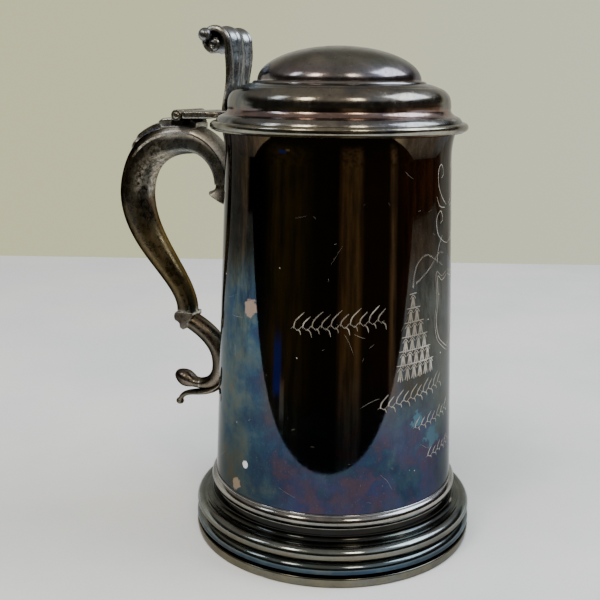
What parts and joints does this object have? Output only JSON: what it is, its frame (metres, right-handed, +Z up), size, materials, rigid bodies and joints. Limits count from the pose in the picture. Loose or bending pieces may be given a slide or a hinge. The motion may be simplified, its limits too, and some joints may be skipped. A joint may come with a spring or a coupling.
{
  "type": "tankard",
  "caption": "Lidded drinking tankard with a tapering drum, spread moulded foot, hinged domed lid with a rolled thumbpiece, and a scroll handle.",
  "frame": {"origin": "on the drum's axis, in the plane of the foot that meets the table", "axes": "+Z up along the drum's axis, -X from the axis towards the handle, +Y along the hinge pin"},
  "size_m": [0.1704, 0.1248, 0.2202],
  "materials": {
    "plated_drum": "dark tarnished mirror polish",
    "plated_lid": "warm satin tarnish",
    "plated_foot": "tarnished polish",
    "plated_handle": "tarnished polish with worn highlights",
    "plated_hinge": "worn satin",
    "plated_thumb": "worn polish"
  },
  "bodies": {
    "vessel": {"foot_rim": "plated_foot", "foot_torus": "plated_foot", "foot_moulding": "plated_foot", "foot_bead": "plated_foot", "body_drum": "plated_drum", "body_floor": "plated_drum", "lip_moulding": "plated_drum", "handle_scroll": "plated_handle", "handle_tail": "plated_handle", "handle_heel": "plated_handle", "lower_scroll": "plated_handle", "scroll_bulb": "plated_handle", "scroll_tendril": "plated_handle", "hinge_strap": "plated_hinge", "strap_drop": "plated_hinge", "root_knuckles": "plated_hinge", "hinge_pin": "plated_hinge"},
    "lid": {"lid_leaf": "plated_hinge", "lid_bead": "plated_lid", "lid_cover": "plated_lid", "lid_dome": "plated_lid", "lid_bezel": "plated_lid", "thumb_leaf": "plated_thumb", "thumb_roll": "plated_thumb", "thumb_bosses": "plated_thumb"}
  },
  "joints": [
    {"name": "lid_hinge", "type": "hinge", "parent": "vessel", "child": "lid", "pos_m": [-0.0715, 0, 0.1832], "axis": [0, -1, 0], "range_deg": [0, 112]}
  ]
}
